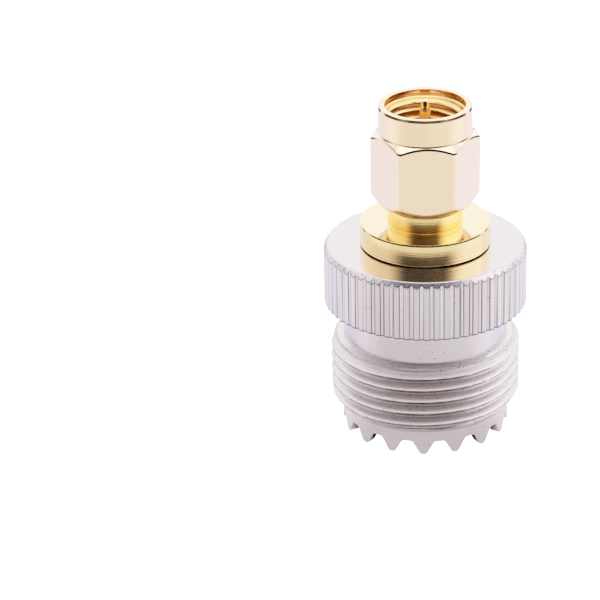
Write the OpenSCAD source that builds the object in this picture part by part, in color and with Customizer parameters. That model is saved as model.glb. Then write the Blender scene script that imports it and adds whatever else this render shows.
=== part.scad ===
// Straight coaxial adapter, SMA plug at one end and UHF jack at the other. All sizes in millimetres.
// Z is the axis. The toothed crown of the UHF jack stands on Z = 0 and the SMA plug points up.

/* [Overall] */
// Height from the crown tips to the nut's mouth, which sets the height of the knurled collar
adapter_h = 28.75; // [28:0.05:29.5]

/* [UHF shell] */
// Outside diameter of the 5/8-24 thread
uhf_thread_d = 15.875; // [15.5:0.005:16.2]
// Diameter of the crown below the thread
crown_d = 14; // [13.6:0.05:14.4]
// Height of the crown
crown_h = 2.15; // [1.8:0.05:2.6]
// Height of the threaded band
uhf_thread_h = 6.55; // [5.5:0.05:7.2]
// Pitch of the thread
uhf_pitch = 1.058; // [1:0.002:1.12]
// Depth of the thread
uhf_thread_depth = 0.62; // [0.4:0.02:0.7]
// Share of the pitch that is flat on a thread crest
uhf_crest_share = 0.14; // [0.1:0.01:0.25]
// Share of the pitch that is flat at a thread root
uhf_root_share = 0.2; // [0.1:0.01:0.25]
// Height of the lowest thread groove above the crown
uhf_first_groove = 0.78; // [0.6:0.02:1]
// Diameter of the plain neck above the thread
undercut_d = 13.7; // [13.3:0.05:14.2]
// Height of the plain neck
undercut_h = 2.65; // [1.8:0.05:3.2]
// Share of the step between thread and neck that the thread's runout takes
runout_share = 0.7; // [0.5:0.05:1]
// Height of the thread's runout
runout_h = 0.44; // [0.3:0.02:0.8]
// Diameter of the mouth bore
mouth_d = 12; // [11.7:0.05:12.3]
// Depth of the mouth bore, from the crown tips to the insulator
mouth_depth = 7; // [6:0.1:8]
// Diameter of the pocket that grips the insulator
pocket_d = 11.5; // [11:0.05:11.6]
// Thickness of the shell's rear wall
rear_wall = 1.6; // [1.2:0.1:2]

/* [Crown] */
// Number of crown teeth, an even number
crown_teeth = 16; // [12:2:18]
// Depth of the notches between the teeth
crown_notch = 1.2; // [0.8:0.05:1.4]
// Width of a tooth at its tip
crown_tip = 0.45; // [0.3:0.05:0.6]
// Width of a notch at its root
crown_root = 0.75; // [0.5:0.05:0.9]
// Turn of the crown about the axis, in degrees
crown_turn = -1.2; // [-11:0.1:11]

/* [Knurl] */
// Diameter over the knurl's ridges
knurl_d = 17; // [16.6:0.1:18]
// Number of ridges
knurl_count = 64; // [48:1:80]
// Depth of the grooves
knurl_depth = 0.22; // [0.15:0.01:0.4]
// Share of the pitch that is flat at a ridge's top
knurl_top_share = 0.6; // [0.3:0.05:0.7]
// Share of the pitch that is flat at a groove's floor
knurl_floor_share = 0.15; // [0.1:0.05:0.25]
// Chamfer of the collar's upper edge
knurl_chamfer = 0.45; // [0.41:0.01:0.7]
// Break of the collar's lower edge
knurl_break = 0.1; // [0.05:0.01:0.2]
// Turn of the knurl about the axis, in degrees
knurl_turn = 3.7; // [0:0.1:7.5]

/* [UHF contact] */
// Outside diameter of the socket contact
contact_d = 5.6; // [5.2:0.1:6]
// Bore of the socket contact, for a 3.9 mm plug pin
contact_bore_d = 4; // [3.9:0.01:4.1]
// Thickness of the contact's closed end
contact_end = 0.8; // [0.5:0.1:1.2]
// Width of the four spring slots
contact_slot = 0.5; // [0.3:0.05:0.7]
// Length of the four spring slots
contact_slot_h = 4.6; // [3.5:0.1:4.8]
// Entry chamfer of the contact
contact_entry = 0.3; // [0.1:0.05:0.5]
// Diameter of the solder tail behind the contact
tail_d = 2.2; // [1.8:0.1:2.6]
// Length of the solder tail beyond the insulator
tail_h = 1.15; // [0.8:0.05:1.4]
// Solid length of the tail behind the contact
tail_solid = 0.6; // [0.4:0.05:1]
// Thickness of the insulator's web behind the contact
web = 0.84; // [0.6:0.02:1.2]

/* [SMA body] */
// Diameter of the flange that sits on the shell
flange_d = 10.9; // [10.2:0.1:12]
// Height of the flange
flange_h = 2; // [1.6:0.05:2.6]
// Edge chamfer of the flange
flange_chamfer = 0.18; // [0.05:0.01:0.3]
// Diameter of the spigot pressed into the shell
spigot_d = 8; // [7:0.1:9]
// Diameter of the neck that carries the nut
neck_d = 6.26; // [6.2:0.02:6.4]
// Height of neck seen between the flange and the nut
neck_gap = 1.75; // [1:0.05:2.6]
// Height of neck between the ring's groove and the seat
seat_h = 0.65; // [0.4:0.05:1]
// Edge break of the seat
seat_break = 0.1; // [0.05:0.01:0.2]
// Outside diameter of the outer contact sleeve
sleeve_d = 4.59; // [4.55:0.01:4.64]
// Length of the outer contact sleeve
sleeve_h = 2.6; // [2:0.05:2.8]
// Edge break of the sleeve
sleeve_break = 0.06; // [0.02:0.01:0.1]
// Diameter of the dielectric
dielectric_d = 4.13; // [4.08:0.01:4.16]
// Diameter of the center conductor
conductor_d = 1.27; // [1.2:0.01:1.34]
// Diameter of the center pin
pin_d = 0.92; // [0.9:0.01:0.94]
// Length of the center pin beyond the dielectric
pin_h = 2.6; // [2.2:0.05:2.8]
// Length of the pin's tapered point
pin_point = 0.95; // [0.6:0.05:1.2]
// Diameter of the pin's tail, soldered into the contact
pin_tail_d = 1; // [0.8:0.05:1.1]

/* [Coupling nut] */
// Width of the nut across its flats
hex_af = 8; // [7.9:0.01:8.1]
// Height of the hexagon
hex_h = 6.2; // [5.8:0.05:6.6]
// Height of the hexagon's upper chamfer at its corners
hex_chamfer = 0.5; // [0.3:0.02:0.7]
// Diameter of the hexagon over its turned corners
hex_corner_d = 9.06; // [8.8:0.02:9.2]
// Height of the hexagon's lower chamfer at its corners
hex_foot_chamfer = 0.7; // [0.5:0.02:0.9]
// Diameter of the hexagon's foot, inside its lower chamfer
hex_foot_d = 7.5; // [7.2:0.05:7.8]
// Diameter of the collar above the hexagon
collar_d = 7.78; // [7.5:0.02:7.84]
// Height of the collar
collar_h = 2.35; // [2:0.05:2.8]
// Edge chamfer of the collar
collar_chamfer = 0.1; // [0.05:0.01:0.15]
// Minor diameter of the nut's 1/4-36 thread
nut_thread_d = 5.66; // [5.6:0.01:5.7]
// Diameter of the counterbore in the nut's mouth
counterbore_d = 6.68; // [6.5:0.02:6.9]
// Depth of the counterbore
counterbore_h = 0.6; // [0.4:0.05:0.8]
// Height of the lead-in between counterbore and thread
lead_h = 0.4; // [0.2:0.05:0.6]
// Gap between the seat and the step where the nut's thread starts
step_gap = 0.15; // [0.05:0.05:0.3]
// Turn of the nut about the axis, in degrees
nut_turn = 2.3; // [-30:0.1:30]

/* [Retaining ring and gasket] */
// Thickness of the retaining ring
ring_h = 0.45; // [0.35:0.05:0.5]
// Outside diameter of the retaining ring
ring_d = 6.9; // [6.8:0.02:7]
// Width of the gap in the retaining ring
ring_split = 1.2; // [0.8:0.1:1.8]
// Height of the nut's lip below the ring
nut_lip = 2.18; // [1.8:0.01:2.5]
// Axial play of the nut
nut_float = 0.4; // [0.2:0.05:0.5]
// Outside diameter of the gasket
gasket_d = 5.5; // [5.3:0.05:5.55]
// Height of the gasket
gasket_h = 0.6; // [0.4:0.05:0.8]

/* [Fits] */
// Radial running clearance of the nut
running_clear = 0.05; // [0.02:0.01:0.08]
// Radial sliding clearance of the ring in its groove
sliding_clear = 0.03; // [0.01:0.01:0.05]
// Axial clearance of the ring in the nut and on its stop
axial_clear = 0.03; // [0.02:0.01:0.05]
// Radial depth of the ring's groove in the neck
groove_depth = 0.47; // [0.4:0.01:0.5]

/* [Hidden] */
$fn = 96;
// Small overlap that makes a cut pass through a face
cut = 0.5;
// Sides of the nut's hexagon
hex_sides = 6;
// Pin point, as shares of the pin's diameter and of the length left to the tip
pin_point_shares = [[0.25, 0.1], [0.17, 0.02]];

// The knurled collar takes the height that the other bands leave
knurl_h = adapter_h - crown_h - uhf_thread_h - undercut_h - flange_h - neck_gap - hex_h - collar_h;

// Levels of the UHF shell
thread_z = crown_h;
undercut_z = thread_z + uhf_thread_h;
knurl_z = undercut_z + undercut_h;
shell_h = knurl_z + knurl_h;
wall_z = shell_h - rear_wall;
thread_lead = (uhf_thread_d - crown_d) / 2;
thread_runout = (uhf_thread_d - undercut_d) / 2 * runout_share;

// The thread's grooves, each a ring with slanting flanks
uhf_grooves = floor(uhf_thread_h / uhf_pitch);
thread_root_r = uhf_thread_d / 2 - uhf_thread_depth;
thread_root_half = uhf_pitch * uhf_root_share / 2;
thread_flare = uhf_pitch * (1 - uhf_crest_share - uhf_root_share) / 2 / uhf_thread_depth;

// Levels of the contact
contact_top = wall_z - web;
contact_floor = contact_top - contact_end;
tail_top = wall_z + tail_h;
tail_floor = contact_top + tail_solid;

// Levels of the SMA body and nut
flange_top = shell_h + flange_h;
nut_z = flange_top + neck_gap;
groove_z = nut_z + nut_lip;
ring_z = groove_z + axial_clear;
groove_top = ring_z + ring_h + nut_float + axial_clear;
seat_z = groove_top + seat_h;
face_z = seat_z + sleeve_h;
pin_top = face_z + pin_h;
nut_step_z = seat_z + step_gap;
collar_z = nut_z + hex_h;
nut_top = collar_z + collar_h;
lead_z = nut_top - counterbore_h - lead_h;

// Radii shared by mating parts
neck_r = neck_d / 2;
groove_r = neck_r - groove_depth;
ring_inner_r = groove_r + sliding_clear;
ring_r = ring_d / 2;
nut_bore_r = neck_r + running_clear;
nut_groove_r = ring_r + running_clear;
hex_corner_r = hex_af / 2 / cos(180 / hex_sides);
hex_limit_r = hex_corner_d / 2;

// Point at radius r and angle a, counted from the front of the adapter
function front_point(r, a) = [r * sin(a), -r * cos(a)];

// Ridge outline of the knurl: groove floor, flank, ridge top, flank for each pitch
function knurl_outline() = [
    for (i = [0 : knurl_count - 1])
    for (corner = [
            [knurl_d / 2 - knurl_depth, -knurl_floor_share / 2],
            [knurl_d / 2 - knurl_depth, knurl_floor_share / 2],
            [knurl_d / 2, 0.5 - knurl_top_share / 2],
            [knurl_d / 2, 0.5 + knurl_top_share / 2]])
    front_point(corner[0], knurl_turn + (i + corner[1]) * 360 / knurl_count)
];

// Knurled collar with its chamfered upper edge
module knurled_collar() {
    translate([0, 0, knurl_z])
    intersection() {
        linear_extrude(height = knurl_h)
            polygon(knurl_outline());
        rotate_extrude()
            polygon([
                [0, 0],
                [knurl_d / 2 - knurl_break, 0],
                [knurl_d / 2 + cut, knurl_break + cut],
                [knurl_d / 2 + cut, knurl_h - knurl_chamfer - cut],
                [knurl_d / 2 - knurl_chamfer, knurl_h],
                [0, knurl_h]]);
    }
}

// Tapered notches between the crown teeth, each cut right across the crown
module crown_notches() {
    pitch = PI * crown_d / crown_teeth;
    mouth_half = (pitch - crown_tip) / 2;
    flare = (mouth_half - crown_root / 2) / crown_notch;
    for (i = [0 : crown_teeth / 2 - 1])
        rotate([0, 0, crown_turn + (i + 0.5) * 360 / crown_teeth])
        rotate([90, 0, 0])
        linear_extrude(height = crown_d + 2 * cut, center = true)
            polygon([
                [-mouth_half - flare * cut, -cut],
                [mouth_half + flare * cut, -cut],
                [crown_root / 2, crown_notch],
                [-crown_root / 2, crown_notch]]);
}

// Grooves of the UHF thread, as rings at its pitch without its climb
module uhf_thread_grooves() {
    reach = uhf_thread_depth + cut;
    mouth_half = thread_root_half + thread_flare * reach;
    for (i = [0 : uhf_grooves - 1])
        translate([0, 0, thread_z + uhf_first_groove + i * uhf_pitch])
        rotate_extrude()
            polygon([
                [thread_root_r, -thread_root_half],
                [thread_root_r + reach, -mouth_half],
                [thread_root_r + reach, mouth_half],
                [thread_root_r, thread_root_half]]);
}

module uhf_shell() {
    color([0.8, 0.79, 0.8])
    difference() {
        union() {
            rotate_extrude()
                polygon([
                    [0, 0],
                    [crown_d / 2, 0],
                    [crown_d / 2, thread_z],
                    [uhf_thread_d / 2, thread_z + thread_lead],
                    [uhf_thread_d / 2, undercut_z - runout_h],
                    [uhf_thread_d / 2 - thread_runout, undercut_z],
                    [undercut_d / 2, undercut_z],
                    [undercut_d / 2, knurl_z + cut],
                    [0, knurl_z + cut]]);
            knurled_collar();
        }
        translate([0, 0, -cut])
            cylinder(d = mouth_d, h = mouth_depth + cut);
        cylinder(d = pocket_d, h = wall_z);
        cylinder(d = spigot_d, h = shell_h + cut);
        crown_notches();
        uhf_thread_grooves();
    }
}

module uhf_insulator() {
    color([0.95, 0.95, 0.93])
    difference() {
        translate([0, 0, mouth_depth])
            cylinder(d = pocket_d, h = wall_z - mouth_depth);
        translate([0, 0, mouth_depth - cut])
            cylinder(d = contact_d, h = contact_top - mouth_depth + cut);
        cylinder(d = tail_d, h = shell_h);
    }
}

module uhf_contact() {
    color([0.85, 0.65, 0.25])
    difference() {
        rotate_extrude()
            polygon([
                [contact_bore_d / 2 + contact_entry, mouth_depth],
                [contact_d / 2, mouth_depth],
                [contact_d / 2, contact_top],
                [tail_d / 2, contact_top],
                [tail_d / 2, tail_top],
                [pin_tail_d / 2, tail_top],
                [pin_tail_d / 2, tail_floor],
                [0, tail_floor],
                [0, contact_floor],
                [contact_bore_d / 2, contact_floor],
                [contact_bore_d / 2, mouth_depth + contact_entry]]);
        for (turn = [45, 135])
            rotate([0, 0, turn])
            translate([-contact_d, -contact_slot / 2, mouth_depth - cut])
                cube([2 * contact_d, contact_slot, contact_slot_h + cut]);
    }
}

module sma_body() {
    color([0.9, 0.72, 0.35])
    rotate_extrude()
        polygon([
            [dielectric_d / 2, wall_z],
            [spigot_d / 2, wall_z],
            [spigot_d / 2, shell_h],
            [flange_d / 2 - flange_chamfer / 2, shell_h],
            [flange_d / 2, shell_h + flange_chamfer / 2],
            [flange_d / 2, flange_top - flange_chamfer],
            [flange_d / 2 - flange_chamfer, flange_top],
            [neck_r, flange_top],
            [neck_r, groove_z],
            [groove_r, groove_z],
            [groove_r, groove_top],
            [neck_r, groove_top],
            [neck_r, seat_z - seat_break],
            [neck_r - seat_break, seat_z],
            [sleeve_d / 2, seat_z],
            [sleeve_d / 2, face_z - sleeve_break],
            [sleeve_d / 2 - sleeve_break, face_z],
            [dielectric_d / 2, face_z]]);
}

module sma_insulator() {
    color([0.96, 0.96, 0.94])
    difference() {
        translate([0, 0, wall_z])
            cylinder(d = dielectric_d, h = face_z - wall_z);
        cylinder(d = tail_d, h = tail_top);
        cylinder(d = conductor_d, h = face_z + cut);
    }
}

module sma_pin() {
    color([0.9, 0.7, 0.3])
    rotate_extrude()
        polygon(concat(
            [
                [0, tail_floor],
                [pin_tail_d / 2, tail_floor],
                [pin_tail_d / 2, tail_top],
                [conductor_d / 2, tail_top],
                [conductor_d / 2, face_z],
                [pin_d / 2, face_z],
                [pin_d / 2, pin_top - pin_point]],
            [for (share = pin_point_shares) [pin_d * share[0], pin_top - pin_point * share[1]]],
            [[0, pin_top]]));
}

// Hexagon with turned corners and turned chamfers above and below
module nut_hexagon() {
    intersection() {
        rotate([0, 0, nut_turn])
        translate([0, 0, nut_z])
            cylinder(r = hex_corner_r, h = hex_h, $fn = hex_sides);
        rotate_extrude()
            polygon([
                [0, nut_z],
                [hex_foot_d / 2, nut_z],
                [hex_limit_r, nut_z + hex_foot_chamfer],
                [hex_limit_r, collar_z - hex_chamfer],
                [collar_d / 2, collar_z],
                [0, collar_z]]);
    }
}

module coupling_nut() {
    color([0.93, 0.8, 0.55])
    difference() {
        union() {
            nut_hexagon();
            rotate_extrude()
                polygon([
                    [0, collar_z - cut],
                    [collar_d / 2, collar_z - cut],
                    [collar_d / 2, nut_top - collar_chamfer],
                    [collar_d / 2 - collar_chamfer, nut_top],
                    [0, nut_top]]);
        }
        rotate_extrude()
            polygon([
                [0, nut_z - cut],
                [nut_bore_r, nut_z - cut],
                [nut_bore_r, ring_z - axial_clear],
                [nut_groove_r, ring_z - axial_clear],
                [nut_groove_r, ring_z + ring_h + axial_clear],
                [nut_bore_r, ring_z + ring_h + axial_clear],
                [nut_bore_r, nut_step_z],
                [nut_thread_d / 2, nut_step_z],
                [nut_thread_d / 2, lead_z],
                [counterbore_d / 2, lead_z + lead_h],
                [counterbore_d / 2, nut_top + cut],
                [0, nut_top + cut]]);
    }
}

module retaining_ring() {
    color([0.75, 0.73, 0.7])
    difference() {
        translate([0, 0, ring_z])
            cylinder(r = ring_r, h = ring_h);
        cylinder(r = ring_inner_r, h = nut_top);
        translate([-ring_split / 2, 0, ring_z - cut])
            cube([ring_split, ring_d, ring_h + 2 * cut]);
    }
}

module gasket() {
    color([0.45, 0.1, 0.08])
    difference() {
        translate([0, 0, seat_z])
            cylinder(d = gasket_d, h = gasket_h);
        cylinder(d = sleeve_d, h = nut_top);
    }
}

uhf_shell();
uhf_insulator();
uhf_contact();
sma_body();
sma_insulator();
sma_pin();
coupling_nut();
retaining_ring();
gasket();
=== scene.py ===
"""Looks of a straight coaxial adapter: a gold SMA plug with its hex nut above a nickel UHF jack.

Lengths in the classes are millimetres, angles are degrees counted from the front (-Y) towards +X.
"""

from __future__ import annotations

import logging
import math
from dataclasses import astuple, dataclass, fields, replace
from enum import Enum
from typing import Any, Sequence, Union

import bmesh
import bpy
from mathutils import Matrix, Vector

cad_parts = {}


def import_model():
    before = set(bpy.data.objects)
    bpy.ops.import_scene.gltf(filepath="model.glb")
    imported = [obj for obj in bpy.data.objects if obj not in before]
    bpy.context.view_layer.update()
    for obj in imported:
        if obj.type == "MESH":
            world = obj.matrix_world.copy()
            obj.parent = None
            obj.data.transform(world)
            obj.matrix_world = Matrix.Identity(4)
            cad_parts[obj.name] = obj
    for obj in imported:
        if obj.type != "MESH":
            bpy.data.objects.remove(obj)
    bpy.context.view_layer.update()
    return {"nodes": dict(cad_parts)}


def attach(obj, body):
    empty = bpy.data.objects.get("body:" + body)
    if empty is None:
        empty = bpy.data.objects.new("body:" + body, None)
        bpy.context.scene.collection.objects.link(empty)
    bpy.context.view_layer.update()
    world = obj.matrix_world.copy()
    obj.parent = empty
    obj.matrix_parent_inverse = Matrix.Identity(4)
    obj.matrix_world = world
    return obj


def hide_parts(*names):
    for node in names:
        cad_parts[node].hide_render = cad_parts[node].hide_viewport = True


LOG = logging.getLogger("adapter")
MM = 0.001
INCH = 25.4
DEGREE = 180.0 / math.pi

Colour = tuple[float, float, float]
Span = tuple[float, float]
Operand = Union["Sock", float]


class Body(Enum):
    """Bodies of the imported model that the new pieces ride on."""

    ADAPTER = "adapter_body"
    NUT = "nut"


class Slot(Enum):
    """Material slots of the record."""

    NICKEL = "nickel_plate"
    GOLD = "gold_plate"
    BRONZE = "spring_bronze"
    DIELECTRIC = "white_dielectric"
    SILICONE = "red_silicone"


class Side(Enum):
    """Side of the wall that a thread is cut on, as the sign of its depth."""

    OUTSIDE = 1.0
    INSIDE = -1.0


class Edge(float, Enum):
    """Roundings of turned and moulded edges."""

    KEEN = 0.02
    FINE = 0.03
    BROKEN = 0.05
    WIDE = 0.1
    SOFT = 0.12


# Node trees written as expressions


class Sock:
    """An output of a node that takes part in Python arithmetic."""

    def __init__(self, graph: Graph, socket: bpy.types.NodeSocket) -> None:
        """Keep the socket and the graph that new Math nodes are added to."""
        self.graph = graph
        self.socket = socket

    def __add__(self, other: Operand) -> Sock:
        """Sum."""
        return self.graph.math("ADD", self, other)

    def __sub__(self, other: Operand) -> Sock:
        """Difference."""
        return self.graph.math("SUBTRACT", self, other)

    def __rsub__(self, other: Operand) -> Sock:
        """Difference from a number."""
        return self.graph.math("SUBTRACT", other, self)

    def __mul__(self, other: Operand) -> Sock:
        """Product."""
        return self.graph.math("MULTIPLY", self, other)

    def __truediv__(self, other: Operand) -> Sock:
        """Quotient."""
        return self.graph.math("DIVIDE", self, other)

    def __rtruediv__(self, other: Operand) -> Sock:
        """Quotient of a number."""
        return self.graph.math("DIVIDE", other, self)

    def __neg__(self) -> Sock:
        """Negative."""
        return self * -1.0

    def __abs__(self) -> Sock:
        """Absolute value."""
        return self.graph.math("ABSOLUTE", self)

    __radd__ = __add__
    __rmul__ = __mul__

    def min(self, other: Operand) -> Sock:
        """Smaller of the two."""
        return self.graph.math("MINIMUM", self, other)

    def max(self, other: Operand) -> Sock:
        """Larger of the two."""
        return self.graph.math("MAXIMUM", self, other)

    def clamp(self) -> Sock:
        """Value held between 0 and 1."""
        return self.max(0.0).min(1.0)

    def fn(self, operation: str) -> Sock:
        """Function of one value, such as SINE, COSINE, FRACT, FLOOR or SQRT."""
        return self.graph.math(operation, self)

    def ease(self, share: float) -> Sock:
        """Blend by a share from the value itself to its smooth step, which rounds a ramp's ends."""
        return self * (1.0 - share) + self * self * (3.0 - self * 2.0) * share

    def ramp(self, low: float, high: float) -> Sock:
        """Smooth step from 0 at low to 1 at high."""
        return ((self - low) / (high - low)).clamp().ease(1.0)

    def band(self, start: float, full: float, fade: float, end: float) -> Sock:
        """1 between full and fade and 0 outside of start and end, with smooth steps between."""
        return self.ramp(start, full) * (1.0 - self.ramp(fade, end))

    def blend(self, start: float, end: float) -> Sock:
        """Number that goes from start at 0 to end at 1."""
        return self * (end - start) + start


class Graph:
    """A node tree under construction."""

    def __init__(self, tree: bpy.types.NodeTree) -> None:
        """Keep the tree that the nodes go into."""
        self.tree = tree

    @staticmethod
    def _pick(sockets: Any, key: Union[str, int]) -> bpy.types.NodeSocket:
        """Find a socket among those in use.

        Args:
            sockets: a node's inputs or outputs.
            key: the socket's name, or its place among those in use.

        Returns:
            The socket.
        """
        usable = [socket for socket in sockets if socket.enabled]
        if isinstance(key, int):
            return usable[key]
        return next(socket for socket in usable if socket.name == key)

    def feed(self, socket: bpy.types.NodeSocket, value: Any) -> None:
        """Link or set one input.

        Args:
            socket: the input.
            value: an output to link, a value to set, or None to leave the input as it is.
        """
        if isinstance(value, Sock):
            self.tree.links.new(value.socket, socket)
        elif value is not None:
            socket.default_value = value

    def node(
        self,
        kind: str,
        settings: dict[str, Any] | None = None,
        sockets: dict[Union[str, int], Any] | None = None,
        output: Union[str, int] = 0,
    ) -> Sock:
        """Add one node.

        Args:
            kind: the node's type.
            settings: properties of the node, set before its sockets.
            sockets: values or links of its inputs, by name or place.
            output: name or place of the output to return.

        Returns:
            The chosen output.
        """
        made = self.tree.nodes.new(kind)
        for name, value in (settings or {}).items():
            setattr(made, name, value)
        for key, value in (sockets or {}).items():
            self.feed(self._pick(made.inputs, key), value)
        return Sock(self, self._pick(made.outputs, output))

    def math(self, operation: str, *operands: Operand) -> Sock:
        """Add one Math node."""
        return self.node("ShaderNodeMath", {"operation": operation}, dict(enumerate(operands)))

    def mix(self, share: Operand, first: Sock | Colour, second: Sock | Colour) -> Sock:
        """Blend two colours."""
        a, b = (end if isinstance(end, Sock) else (*end, 1.0) for end in (first, second))
        return self.node("ShaderNodeMix", {"data_type": "RGBA"},
                         {"Factor": share, "A": a, "B": b}, "Result")

    def vector(self, x: Operand = 0.0, y: Operand = 0.0, z: Operand = 0.0) -> Sock:
        """Vector of three values."""
        return self.node("ShaderNodeCombineXYZ", {}, {"X": x, "Y": y, "Z": z})

    def axes(self, vector: Sock) -> tuple[Sock, ...]:
        """X, Y and Z of a vector."""
        made = self.node("ShaderNodeSeparateXYZ", {}, {0: vector}).socket.node
        return tuple(Sock(self, socket) for socket in made.outputs)

    def bearing(self, x: Sock, y: Sock) -> Sock:
        """Angle about Z, in degrees from the front."""
        return self.math("ARCTAN2", x, -y) * DEGREE

    def noise(self, scale: float, detail: float, place: Sock) -> Sock:
        """Soft noise in space, about 0.5."""
        return self.node("ShaderNodeTexNoise", {"noise_dimensions": "3D"},
                         {"Vector": place, "Scale": scale, "Detail": detail})

    def lines(self, along: Sock, detail: float = 1.0) -> Sock:
        """Noise along one value, about 0.5, whose grain is one unit of it."""
        return self.node("ShaderNodeTexNoise", {"noise_dimensions": "1D"},
                         {"W": along, "Scale": 1.0, "Detail": detail})


# Half sections and the trees that shape them


@dataclass(frozen=True)
class Corner:
    """Corner of a half section, with the radius of its rounding."""

    r: float
    z: float
    fillet: float = 0.0


@dataclass(frozen=True)
class Row:
    """Point of a half section, with what the turning tree does to it around the axis.

    crown lifts it in the notches, ridge_r and ridge_z move it in the grooves of the knurl, slant
    makes it climb as a thread does, hexagon pushes it out to the flats and hexagon_rise lifts it with
    that push.
    """

    r: float
    z: float
    crown: float = 0.0
    ridge_r: float = 0.0
    ridge_z: float = 0.0
    slant: float = 0.0
    hexagon: float = 0.0
    hexagon_rise: float = 0.0

    def towards(self, other: Row, share: float) -> Row:
        """Row between this one at a share of 0 and another at 1, with weights in between."""
        return Row(*(a + (b - a) * share for a, b in zip(astuple(self), astuple(other))))


ROW_WEIGHTS = tuple(field.name for field in fields(Row))[2:]


@dataclass(frozen=True)
class Thread:
    """A screw thread between two levels, with its runouts at both ends."""

    side: Side
    pitch: float
    crest_r: float
    root_r: float
    foot_z: float
    top_z: float
    foot_r: float
    top_r: float
    crest_z: float
    foot_slope: float = 1.0
    top_slope: float = 1.0
    crest_share: float = 0.14
    root_share: float = 0.2
    rows_per_turn: int = 12

    def radius(self, z: float) -> float:
        """Radius of the thread's profile.

        Args:
            z: level at the start of the turn.

        Returns:
            The radius before the runouts cut it.
        """
        from_crest = 0.5 - abs((z - self.crest_z) / self.pitch % 1.0 - 0.5)
        half_crest, half_root = self.crest_share / 2, self.root_share / 2
        fall = (from_crest - half_crest) / (0.5 - half_crest - half_root)
        return self.crest_r + (self.root_r - self.crest_r) * min(max(fall, 0.0), 1.0)

    def rows(self) -> list[Row]:
        """Rows from the foot, one turn below it, up to the top.

        Returns:
            The rows, each with the thread's full weight.
        """
        step = self.pitch / self.rows_per_turn
        count = math.ceil((self.top_z - self.foot_z + self.pitch) / step)
        levels = [self.foot_z - self.pitch + step * i for i in range(count + 1)]
        return [Row(self.radius(z), z, slant=1.0) for z in levels]

    def inputs(self) -> dict[str, float]:
        """Values for the turning tree."""
        return {
            "Thread Side": self.side.value,
            "Thread Pitch": self.pitch * MM,
            "Thread Foot": self.foot_z * MM,
            "Thread Top": self.top_z * MM,
            "Thread Foot Radius": self.foot_r * MM,
            "Thread Top Radius": self.top_r * MM,
            "Thread Foot Slope": self.foot_slope,
            "Thread Top Slope": self.top_slope,
        }


class Outline:
    """Half section of a turned piece, as rows in the order of its walls."""

    fillet_steps = 4
    room_share = 0.45
    support = 0.03
    support_share = 0.4
    lengths = ("ridge_r", "ridge_z")

    def __init__(self) -> None:
        """Start with no rows."""
        self.rows: list[Row] = []

    def path(self, *corners: Corner) -> Outline:
        """Append walls with rounded corners.

        Args:
            corners: the walls' corners; the first and last stay sharp.

        Returns:
            The outline itself.
        """
        points = [Vector((corner.r, corner.z)) for corner in corners]
        self.rows.append(Row(*points[0]))
        for before, here, after, corner in zip(points, points[1:], points[2:], corners[1:]):
            self._round(before, here, after, corner.fillet)
        self.rows.append(Row(*points[-1]))
        return self

    def _round(self, before: Vector, here: Vector, after: Vector, fillet: float) -> None:
        """Append one corner, with rows beside it that keep the walls' shading flat.

        Args:
            before: the corner in front of it.
            here: the corner itself.
            after: the corner behind it.
            fillet: radius of its rounding, cut down where a wall is too short for it.
        """
        back, ahead = before - here, after - here
        room = self.room_share * min(back.length, ahead.length)
        back.normalize()
        ahead.normalize()
        half = back.angle(ahead) / 2
        reach = min(fillet / math.tan(half), room) if fillet else 0.0
        beside = reach + min(self.support, self.support_share * room)
        self.rows.append(Row(*(here + back * beside)))
        if reach:
            radius = reach * math.tan(half)
            centre = here + (back + ahead).normalized() * radius / math.sin(half)
            start, end = here + back * reach - centre, here + ahead * reach - centre
            sweep = start.angle_signed(end)
            for i in range(self.fillet_steps + 1):
                arm = Matrix.Rotation(-sweep * i / self.fillet_steps, 2) @ start
                self.rows.append(Row(*(centre + arm)))
        else:
            self.rows.append(Row(*here))
        self.rows.append(Row(*(here + ahead * beside)))

    def paired(self, ridge: Sequence[Corner], groove: Sequence[Corner]) -> Outline:
        """Append the walls of a ridge, and what its neighbour groove does beside them.

        Args:
            ridge: corners of the walls on a ridge.
            groove: as many corners of the walls in a groove.

        Returns:
            The outline itself.
        """
        upper, lower = Outline().path(*ridge).rows, Outline().path(*groove).rows
        return self.add(
            [Row(a.r, a.z, ridge_r=b.r - a.r, ridge_z=b.z - a.z) for a, b in zip(upper, lower)]
        )

    def bend(self, before: Row, corner: Row, after: Row) -> Outline:
        """Append a corner that is drawn out to a soft curve.

        Args:
            before: where the curve starts.
            corner: the corner that it cuts.
            after: where the curve ends.

        Returns:
            The outline itself.
        """
        for i in range(self.fillet_steps + 1):
            share = i / self.fillet_steps
            first, second = before.towards(corner, share), corner.towards(after, share)
            self.rows.append(first.towards(second, share))
        return self

    def add(self, rows: Sequence[Row]) -> Outline:
        """Append rows as they are."""
        self.rows.extend(rows)
        return self

    def mesh(self, name: str) -> bpy.types.Mesh:
        """Polyline in metres, with the rows' weights as attributes.

        Args:
            name: name of the mesh.

        Returns:
            The new mesh.
        """
        mesh = bpy.data.meshes.new(name)
        points = [(row.r * MM, 0.0, row.z * MM) for row in self.rows]
        mesh.from_pydata(points, [(i, i + 1) for i in range(len(points) - 1)], [])
        for weight in ROW_WEIGHTS:
            scale = MM if weight in self.lengths else 1.0
            values = [getattr(row, weight) * scale for row in self.rows]
            mesh.attributes.new(weight, "FLOAT", "POINT").data.foreach_set("value", values)
        return mesh


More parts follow.
